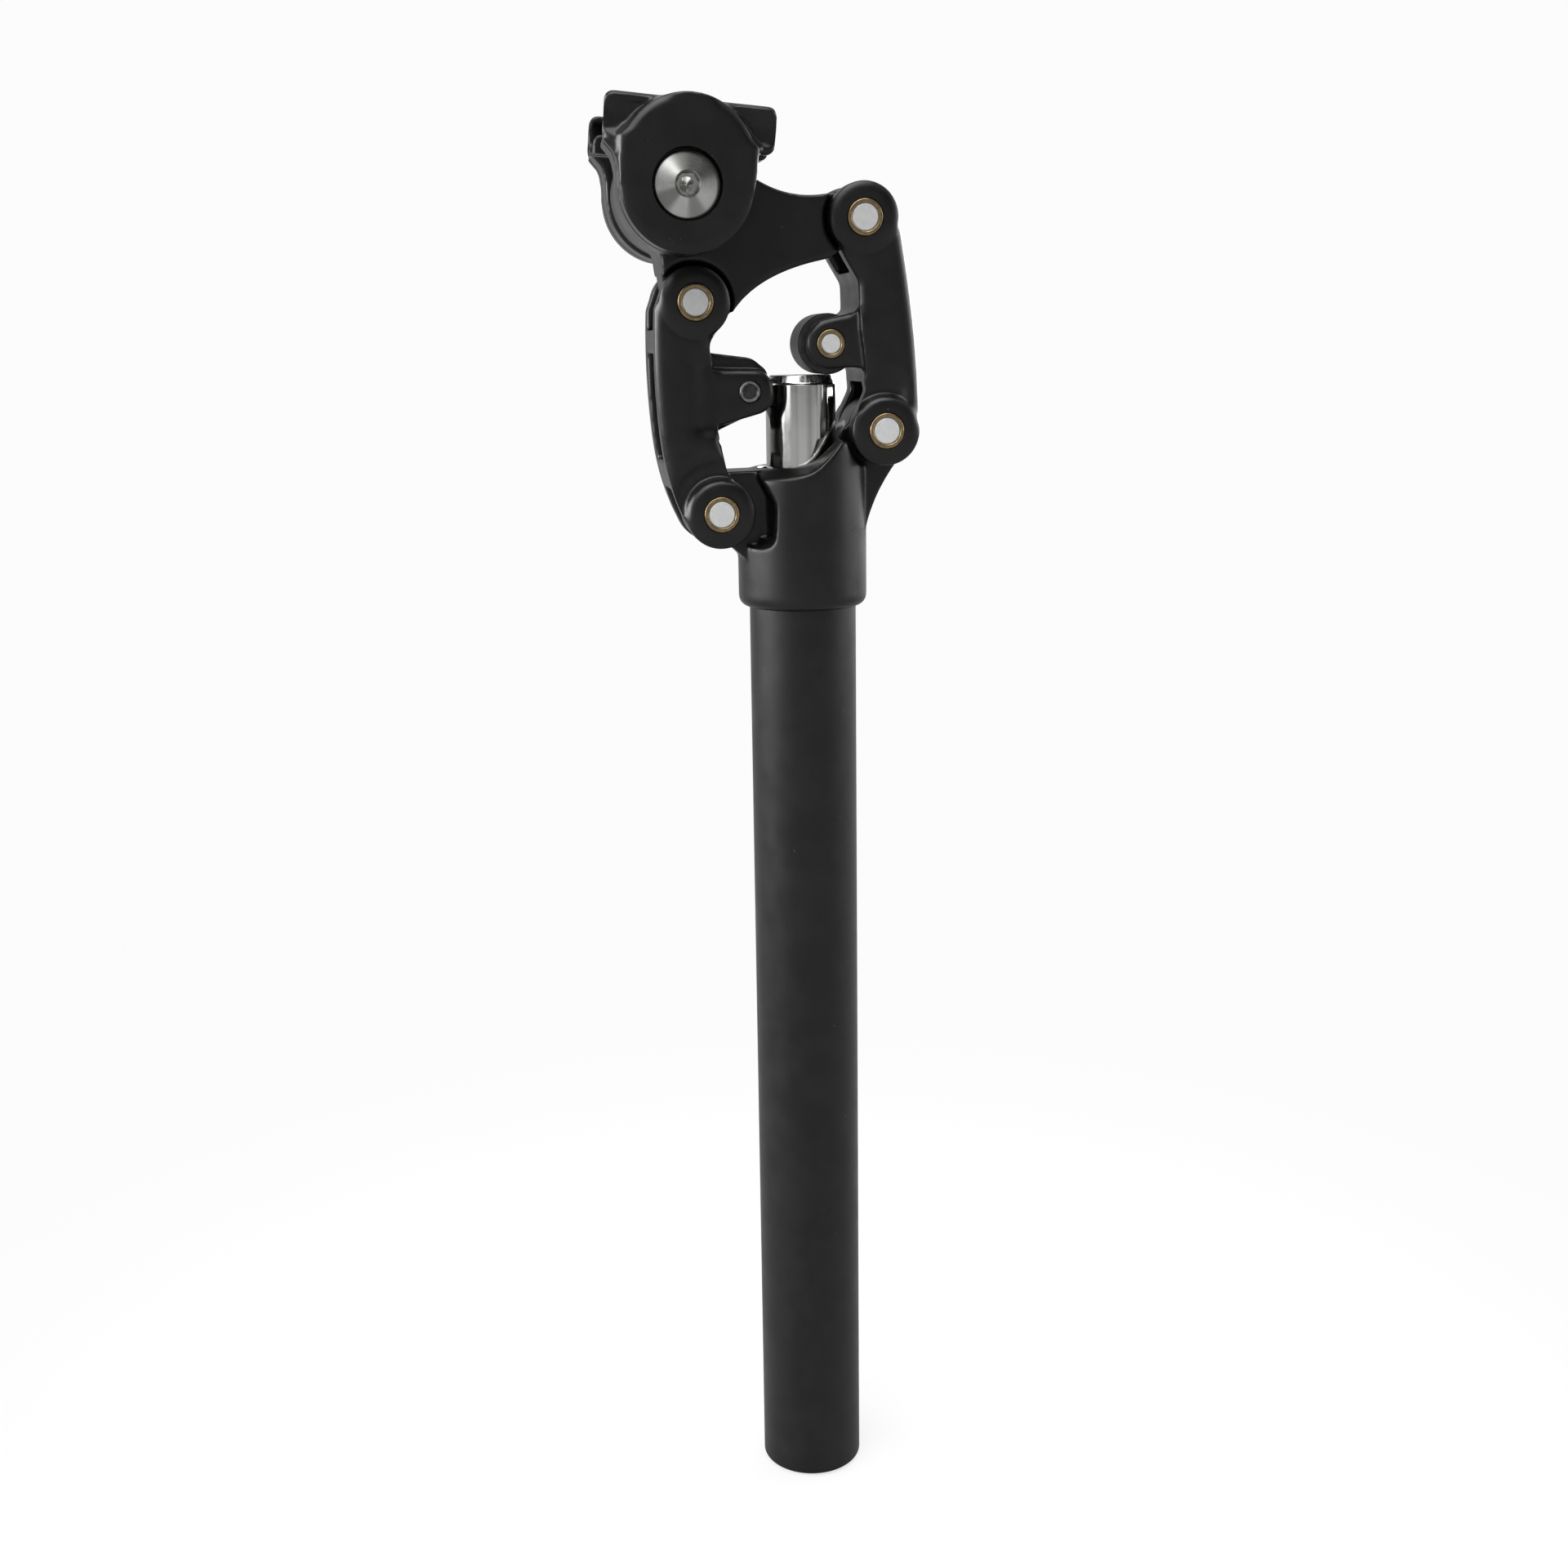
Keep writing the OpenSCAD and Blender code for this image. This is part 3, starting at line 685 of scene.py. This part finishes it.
rear_link = link_piece(
    "rear_link",
    (REAR_LOW, REAR_HIGH),
    [bar(BUMPER, BUMPER_PIN_R + 0.5, *span) for span in ((-EAR_HALF, -5), (5, EAR_HALF))],
    [bore_cutter(BUMPER, BUMPER_PIN_R + 0.02, (-EAR_HALF, EAR_HALF), 0.15)],
    sculpt_rear_link,
    24,
)
piece("rear_link_forging", rear_link, "rear_link", ["rear_link"], [forged_black])

head_yoke = forged(
    "head_yoke",
    [bar(p, PIN_R + 0.5, -6.4, 6.4) for p in (FRONT_HIGH, REAR_HIGH)]
    + [bar(CLAMP, CLAMP_BOLT_R + 0.6, -10.8, 10.8)],
    rounds=34,
    cutters=[hole(p, PIN_R) for p in (FRONT_HIGH, REAR_HIGH)] + [hole(CLAMP, CLAMP_BOLT_R)],
)
piece("head_yoke_forging", head_yoke, "head", ["head_yoke"], [forged_black])

for tag, side in (("near", -1), ("far", 1)):
    for layer in ("inner", "outer"):
        node = f"{layer}_clamp_{tag}"
        low, high = box_mm(node)
        near, far = sorted((abs(low.y), abs(high.y)))
        mesh = clamp_piece(node, side, far, near, layer == "outer")
        piece(f"{node}_forging", mesh, "saddle_clamp", [node], [forged_black])


def rim_edge_cutter(mesh, inner_r, outer_r, depth):
    """A ring that bevels the mouth of a vertical bore where it meets an uneven surface."""
    corners = [v.co.copy() for v in mesh.vertices]
    surface = BVHTree.FromPolygons(corners, [tuple(p.vertices) for p in mesh.polygons])
    columns = []
    for i in range(TURNS):
        t = 2 * math.pi * i / TURNS
        x, y = math.cos(t), math.sin(t)
        hit = surface.ray_cast(Vector((x * outer_r, y * outer_r, 400)), Vector((0, 0, -1)))[0]
        columns.append((x, y, hit.z))
    vertices = []
    section = ((inner_r - 1, -depth), (inner_r, -depth), (outer_r, 0.02), (outer_r, 6), (inner_r - 1, 6))
    for r, rise in section:
        vertices += [Vector((x * r, y * r, z + rise)) for x, y, z in columns]
    faces = []
    for k in range(len(section)):
        for i in range(TURNS):
            j, n = (i + 1) % TURNS, (k + 1) % len(section)
            faces.append([k * TURNS + i, k * TURNS + j, n * TURNS + j, n * TURNS + i])
    return new_mesh("rim", vertices, faces)


# What fills the collar's two bores while the body is rounded.
collar_fill = [(0, COLLAR_BOTTOM + SHY), (13.8, COLLAR_BOTTOM + SHY), (13.8, 262), (11.6, 262), (11.6, 277.9),
               (0, 277.9)]
body_mesh = forged(
    "lower_body",
    [lathe(collar_fill, Vector(), "Z")]
    + [bar(p, PIN_R + 0.5, -6.4, 6.4) for p in (FRONT_LOW, REAR_LOW)],
    rounds=26,
)
bevel = rim_edge_cutter(body_mesh, BODY_BORE_R, BODY_BORE_R + 0.45, 0.4)
body_mesh = cut(
    body_mesh,
    [
        lathe([(0, 200), (TUBE_R, 200), (TUBE_R, TUBE_TOP), (0, TUBE_TOP)], Vector(), "Z"),
        lathe([(0, 250), (BODY_BORE_R, 250), (BODY_BORE_R, 330), (0, 330)], Vector(), "Z"),
        bevel,
    ]
    + [hole(p, PIN_R) for p in (FRONT_LOW, REAR_LOW)],
)


def bare_rim(centres):
    """The bevelled mouth of the plunger's bore is left without paint."""
    r = np.hypot(centres[:, 0], centres[:, 1])
    return ((r < BODY_BORE_R + 0.44) & (r > BODY_BORE_R + 0.02) & (centres[:, 2] > TUBE_TOP + 2)).astype(int)


piece("lower_body_forging", body_mesh, "post", ["lower_body"],
      [forged_black, bare_aluminium], bare_rim)

# ---- Turned parts -----------------------------------------------------------

AXIS = Vector((0, 0, 0))
BORE_R = TUBE_R - 2.2
tube_path = [(BORE_R, 0, 0.5), (TUBE_R, 0, 0.9), (TUBE_R, COLLAR_BOTTOM + 0.4),
             (TUBE_R - 0.3, COLLAR_BOTTOM + 0.6), (TUBE_R - 0.3, TUBE_TOP), (BORE_R, TUBE_TOP)]
tube_mesh = lathe(tube_path, AXIS, "Z", closed=True, turns=180)
piece("seat_tube_drawn", tube_mesh, "post", ["seat_tube"], [tube_black])

plunger_top = box_mm("plunger")[1].z
plunger_foot = box_mm("plunger")[0].z
chrome = Finish("plunger_chrome", (0.74, 0.74, 0.73), 1.0, 0.07)
chrome_r, chrome_t = chrome.from_axis(AXIS, "Z")
around = chrome.combined(chrome.maths("MULTIPLY", chrome_t, 3.2), chrome_r)
polish = chrome.noise(1.0, 2, 0.5, where=around)
chrome.colour(chrome.rescale(polish, 0.4, 0.6, 0, 1), (0.74, 0.74, 0.73), (0.5, 0.5, 0.48))
chrome.roughness(chrome.noise(1 / (6 * MM), 4), 0.06, 0.12)
chrome.bump(chrome.noise(1 / (4 * MM), 2), 0.004)
crown = Finish("plunger_crown", (0.72, 0.72, 0.7), 1.0, 0.22)
crown_r, crown_t = crown.from_axis(AXIS, "Z")
around = crown.combined(crown.maths("MULTIPLY", crown_t, 11.0), crown_r, 900.0)
chatter = crown.noise(1.0, 3, 0.7, where=around)
crown.roughness(chatter, 0.12, 0.34)
crown.bump(crown.rescale(chatter, 0.5, 0.8, 0, 1), 0.03, 0.8)
plunger_path = [(0, plunger_top), (PLUNGER_R - 1.15, plunger_top, 0.15),
                (PLUNGER_R - 0.55, plunger_top - 1.75, 0.12), (PLUNGER_R - 0.45, plunger_top - 1.95, 0.1),
                (PLUNGER_R, plunger_top - 2.3, 0.12), (PLUNGER_R, plunger_foot + 4), (10.8, plunger_foot + 4),
                (10.8, plunger_foot), (6.5, plunger_foot), (6.5, plunger_top - 6), (0, plunger_top - 6)]


def crown_faces(centres):
    return (centres[:, 2] > plunger_top - 1.9).astype(int)


piece("plunger_turned", lathe(plunger_path, AXIS, "Z"), "plunger", ["plunger"],
      [chrome.material, crown.material], crown_faces, TURNED_SHARP)


def bush_pair(name, points, inner_r, outer_r, low, high, body, node, finish):
    """Bushes with a rounded lip at the outer face, in both cheeks at each pivot."""
    made = []
    for point in points:
        for side in (-1, 1):
            lip = side * (high + 0.12)
            step = side * (high - 0.6)
            path = [(inner_r, side * low), (inner_r, lip, 0.3), (outer_r - 0.03, lip, 0.42),
                    (outer_r - 0.03, step), (outer_r, step), (outer_r, side * low)]
            made.append(lathe(path, flat(point), "Y", closed=True, turns=96))
    piece(name, join_meshes(made), body, [node], [finish])


PIN_CHAMFER = 0.28


def pin_piece(name, points, r, half, body, node, finish):
    """Ground pins with a small chamfer."""
    made = []
    for point in points:
        path = [(0, -half), (r - PIN_CHAMFER, -half, 0.08), (r, PIN_CHAMFER - half, 0.08),
                (r, half - PIN_CHAMFER, 0.08), (r - PIN_CHAMFER, half, 0.08), (0, half)]
        made.append(lathe(path, flat(point), "Y", turns=96))
    piece(name, join_meshes(made), body, [node], [finish])


bush_pair("front_link_bush_rings", (FRONT_HIGH, FRONT_LOW), PIN_R + 0.05, BUSH_R, 7, LINK_HALF,
          "front_link", "front_link_bushes", front_brass)
bush_pair("rear_link_bush_rings", (REAR_HIGH, REAR_LOW), PIN_R + 0.05, BUSH_R, 7, LINK_HALF,
          "rear_link", "rear_link_bushes", rear_brass)
bush_pair("roller_bush_rings", (ROLLER,), AXLE_R + 0.05, ROLLER_BUSH_R, 6.5, EAR_HALF,
          "front_link", "roller_bushes", roller_brass)
pin_piece("lower_pins_ground", (FRONT_LOW, REAR_LOW), PIN_R, LINK_HALF, "post", "lower_pivot_pins", pin_steel)
pin_piece("upper_pins_ground", (FRONT_HIGH, REAR_HIGH), PIN_R, LINK_HALF, "head", "upper_pivot_pins",
          pin_steel)
pin_piece("roller_axle_ground", (ROLLER,), AXLE_R, EAR_HALF, "roller", "roller_axle", pin_steel)

roller_path = [(AXLE_R, -ROLLER_HALF), (ROLLER_R - 0.5, -ROLLER_HALF, 0.1),
               (ROLLER_R - 0.06, -ROLLER_HALF + 0.5, 0.1), (ROLLER_R - 0.06, ROLLER_HALF - 0.5, 0.1),
               (ROLLER_R - 0.5, ROLLER_HALF, 0.1), (AXLE_R, ROLLER_HALF)]
piece("roller_turned", lathe(roller_path, flat(ROLLER), "Y", closed=True), "roller",
      ["roller"], [roller_black], None, TURNED_SHARP)

bumper_half = box_mm("bumper_pin")[1].y
stake = [(0, 0.42), (1.72, 0.42, 0.15), (1.95, 0.02, 0.12), (2.35, 0.0, 0.15), (BUMPER_PIN_R, 0.5, 0.1)]
stake_path = [(r, -bumper_half + d, *rest) for r, d, *rest in stake]
stake_path += [(r, bumper_half - d, *rest) for r, d, *rest in reversed(stake)]


def staked_faces(centres):
    r = from_point(centres, BUMPER)
    return (r > 1.75).astype(int)


piece("bumper_pin_staked", lathe(stake_path, BUMPER, "Y"), "rear_link", ["bumper_pin"],
      [dark_steel, staked_steel], staked_faces)

# ---- Clamp bolt and nut -----------------------------------------------------

BRIGHT_STEEL, DULL_STEEL = (0.66, 0.66, 0.64), (0.58, 0.58, 0.56)
bolt_finish = turned("bolt_turned", BRIGHT_STEEL, DULL_STEEL, 1.0, 0.24, CLAMP, "Y", 0.1, 0.0015, 0.5)
socket_finish = ground("socket_steel", (0.6, 0.6, 0.58), (0.5, 0.5, 0.49), 1.0, 0.2, 0.6, 0.004)
seat = CLAMP_FACE - 3.2
# The head is drawn wider than the CAD's, so that it nearly fills its seat.
HEAD_R = BOLT_HEAD_R + 0.45
bolt_profile = [(0, seat + 3.35), (3.1, seat + 3.35, 0.1), (HEAD_R - 0.25, seat + 1.85, 0.2),
                (HEAD_R, seat + 1.6, 0.15), (HEAD_R, seat + 0.4, 0.2), (HEAD_R - 0.4, seat), (3.95, seat),
                (3.95, -seat - 2), (0, -seat - 2)]
bolt_mesh = lathe([(p[0], -p[1], *p[2:]) for p in bolt_profile], flat(CLAMP), "Y")
key_r = 2.66
hex_angles = [math.radians(60 * i) for i in range(6)]
hex_points = [(CLAMP.x + key_r * math.cos(t), CLAMP.z + key_r * math.sin(t)) for t in hex_angles]
mouth = [(0, seat + 2.45), (2.2, seat + 2.45), (2.95, seat + 3.4), (2.95, seat + 6), (0, seat + 6)]
drill = [(0, seat - 0.6), (0.25, seat - 0.5), (1.75, seat + 0.6), (1.75, seat + 6), (0, seat + 6)]
bolt_mesh = cut(bolt_mesh, [
    prism(hex_points, -seat - 6, -seat - 0.6),
    lathe([(r, -h) for r, h in mouth], flat(CLAMP), "Y", turns=72),
    lathe([(r, -h) for r, h in drill], flat(CLAMP), "Y", turns=72),
])


def socket_faces(centres):
    inside = from_point(centres, CLAMP) < 2.97
    return (inside & (centres[:, 1] < -seat + 1) & (centres[:, 1] > -seat - 3.34)).astype(int)


piece("clamp_bolt_turned", bolt_mesh, "clamp_screw", ["clamp_bolt"],
      [bolt_finish, socket_finish], socket_faces, TURNED_SHARP)

nut_low, nut_high = box_mm("clamp_nut")
nut_path = [(4, nut_low.y), (BOLT_HEAD_R - 0.4, nut_low.y, 0.2), (BOLT_HEAD_R, nut_low.y + 0.4, 0.2),
            (BOLT_HEAD_R, nut_low.y + 2.6, 0.3), (4.6, nut_high.y - 0.4, 0.2), (4, nut_high.y - 0.7)]
piece("clamp_nut_turned", lathe(nut_path, flat(CLAMP), "Y", closed=True), "saddle_clamp",
      ["clamp_nut"], [bolt_finish], None, TURNED_SHARP)

# ---- CAD nodes that keep their shape ----------------------------------------

KEPT = {
    "guide_bush": guide_polymer,
    "wiper_seal": seal_rubber,
    "preload_plug": black_plastic,
    "spring_spacer": black_plastic,
    "spring_washer": spring_steel,
    "elastomer_core": elastomer,
    "spring_cap": white_plastic,
    "coil_spring": spring_steel,
    "front_link_washers": washer_plastic,
    "rear_link_washers": washer_plastic,
    "rebound_bumper": rubber,
    "bolt_washer": dark_steel,
}
for node, finish in KEPT.items():
    slots = frame["nodes"][node].data.materials
    slots.clear()
    slots.append(finish)

# ---- Floor, light and camera ------------------------------------------------


PAPER = 0.97


def make_floor():
    """A pale floor that looks white, and that lights the post from below less than it looks."""
    mesh = bpy.data.meshes.new("floor")
    half, height = 8.0, -0.0006
    corners = [(x, y, height) for x, y in ((-half, -half), (half, -half), (half, half), (-half, half))]
    mesh.from_pydata(corners, [], [(0, 1, 2, 3)])
    floor = bpy.data.objects.new("floor", mesh)
    bpy.context.scene.collection.objects.link(floor)
    f = Finish("floor_white", (0.86, 0.86, 0.86), 0.0, 0.9, specular=0.1)
    f.colour(f.noise(6.0, 2), (0.85, 0.85, 0.85), (0.87, 0.87, 0.87))
    glow = f.tree.nodes.new("ShaderNodeEmission")
    glow.inputs["Color"].default_value = (PAPER, PAPER, PAPER, 1)
    distance = f.vector("LENGTH", f.place, (0, 0, 0)).outputs["Value"]
    seen = f.tree.nodes.new("ShaderNodeMixShader")
    f.link(f.rescale(distance, 0.02, 0.35, 0.75, 1.0), seen.inputs["Fac"])
    f.link(f.shader.outputs["BSDF"], seen.inputs[1])
    f.link(glow.outputs["Emission"], seen.inputs[2])
    dim = f.tree.nodes.new("ShaderNodeBsdfDiffuse")
    dim.inputs["Color"].default_value = (0.3, 0.3, 0.3, 1)
    mix = f.tree.nodes.new("ShaderNodeMixShader")
    f.link(f.tree.nodes.new("ShaderNodeLightPath").outputs["Is Camera Ray"], mix.inputs["Fac"])
    f.link(dim.outputs["BSDF"], mix.inputs[1])
    f.link(seen.outputs["Shader"], mix.inputs[2])
    f.link(mix.outputs["Shader"], f.tree.nodes["Material Output"].inputs["Surface"])
    mesh.materials.append(f.material)


# Soft lights of the surroundings: the way to each one, the cosines of the angles from it at which it
# begins and is full, and its strength. X is the front of the bicycle and Z is up.
LIGHTS = (
    ((-1.0, 0.05, 0.05), 0.8, 0.98, 10.0),
    ((-0.78, -0.62, 0.0), 0.985, 0.997, 2.6),
    ((-0.6, -0.8, 0.0), 0.85, 0.98, 0.25),
    ((1.0, 0.05, 0.05), 0.85, 0.98, 4.0),
    ((0.64, 0.77, 0.05), 0.88, 0.99, 9.0),
    ((0.1, 1.0, 0.15), 0.6, 0.98, 0.4),
    ((0.2, -0.98, 0.0), 0.8, 0.97, 0.27),
    ((0.0, -0.35, 0.94), 0.9, 0.985, 4.0),
    ((0.0, 0.5, 0.87), 0.75, 0.97, 1.0),
    ((-0.45, -0.5, 0.74), 0.88, 0.985, 3.2),
    ((0.8, -0.58, 0.1), 0.985, 0.997, 0.8),
    ((0.7, 0.0, 0.7), 0.85, 0.98, 0.6),
)
AMBIENT = 0.01


def make_world():
    """Bright surroundings at the left, behind and above, and dim ones in front, as around a white sweep."""
    world = bpy.data.worlds.new("studio")
    world.use_nodes = True
    bpy.context.scene.world = world
    tree = world.node_tree
    place = tree.nodes.new("ShaderNodeTexCoord").outputs["Generated"]
    total = None
    for direction, low, high, strength in LIGHTS:
        dot = tree.nodes.new("ShaderNodeVectorMath")
        dot.operation = "DOT_PRODUCT"
        tree.links.new(place, dot.inputs[0])
        dot.inputs[1].default_value = Vector(direction).normalized()
        shape = tree.nodes.new("ShaderNodeMapRange")
        shape.interpolation_type = "SMOOTHSTEP"
        for key, value in (("From Min", low), ("From Max", high), ("To Min", 0.0), ("To Max", strength)):
            shape.inputs[key].default_value = value
        tree.links.new(dot.outputs["Value"], shape.inputs["Value"])
        if total is None:
            total = shape.outputs["Result"]
        else:
            add = tree.nodes.new("ShaderNodeMath")
            tree.links.new(total, add.inputs[0])
            tree.links.new(shape.outputs["Result"], add.inputs[1])
            total = add.outputs[0]
    add = tree.nodes.new("ShaderNodeMath")
    tree.links.new(total, add.inputs[0])
    add.inputs[1].default_value = AMBIENT
    lamp = tree.nodes["Background"]
    lamp.inputs["Color"].default_value = (1, 1, 1, 1)
    tree.links.new(add.outputs[0], lamp.inputs["Strength"])
    paper = tree.nodes.new("ShaderNodeBackground")
    paper.inputs["Color"].default_value = (PAPER, PAPER, PAPER, 1)
    mix = tree.nodes.new("ShaderNodeMixShader")
    tree.links.new(tree.nodes.new("ShaderNodeLightPath").outputs["Is Camera Ray"], mix.inputs["Fac"])
    tree.links.new(lamp.outputs["Background"], mix.inputs[1])
    tree.links.new(paper.outputs["Background"], mix.inputs[2])
    tree.links.new(mix.outputs["Shader"], tree.nodes["World Output"].inputs["Surface"])


CAMERA_PLACE = (-0.08276, -0.4592, 0.3094)
CAMERA_YAW, CAMERA_PITCH, CAMERA_ROLL = 9.548, 13.6, -0.792
CAMERA_LENS = 41.917


def make_camera():
    """Looks slightly down on the post from its right-hand side and a little behind."""
    yaw, pitch, roll = (math.radians(a) for a in (CAMERA_YAW, CAMERA_PITCH, CAMERA_ROLL))
    forward = Vector((math.sin(yaw) * math.cos(pitch), math.cos(yaw) * math.cos(pitch), -math.sin(pitch)))
    right = Vector((math.cos(yaw), -math.sin(yaw), 0))
    up = right.cross(forward)
    across = right * math.cos(roll) + up * math.sin(roll)
    upright = up * math.cos(roll) - right * math.sin(roll)
    camera = bpy.data.cameras.new("camera")
    camera.lens = CAMERA_LENS
    camera.sensor_width = 36
    camera.clip_start, camera.clip_end = 0.01, 50
    obj = bpy.data.objects.new("camera", camera)
    bpy.context.scene.collection.objects.link(obj)
    pose = Matrix((across, upright, -forward)).transposed().to_4x4()
    pose.translation = Vector(CAMERA_PLACE)
    obj.matrix_world = pose
    bpy.context.scene.camera = obj


make_floor()
make_world()
make_camera()
bpy.context.scene.view_settings.view_transform = "Standard"
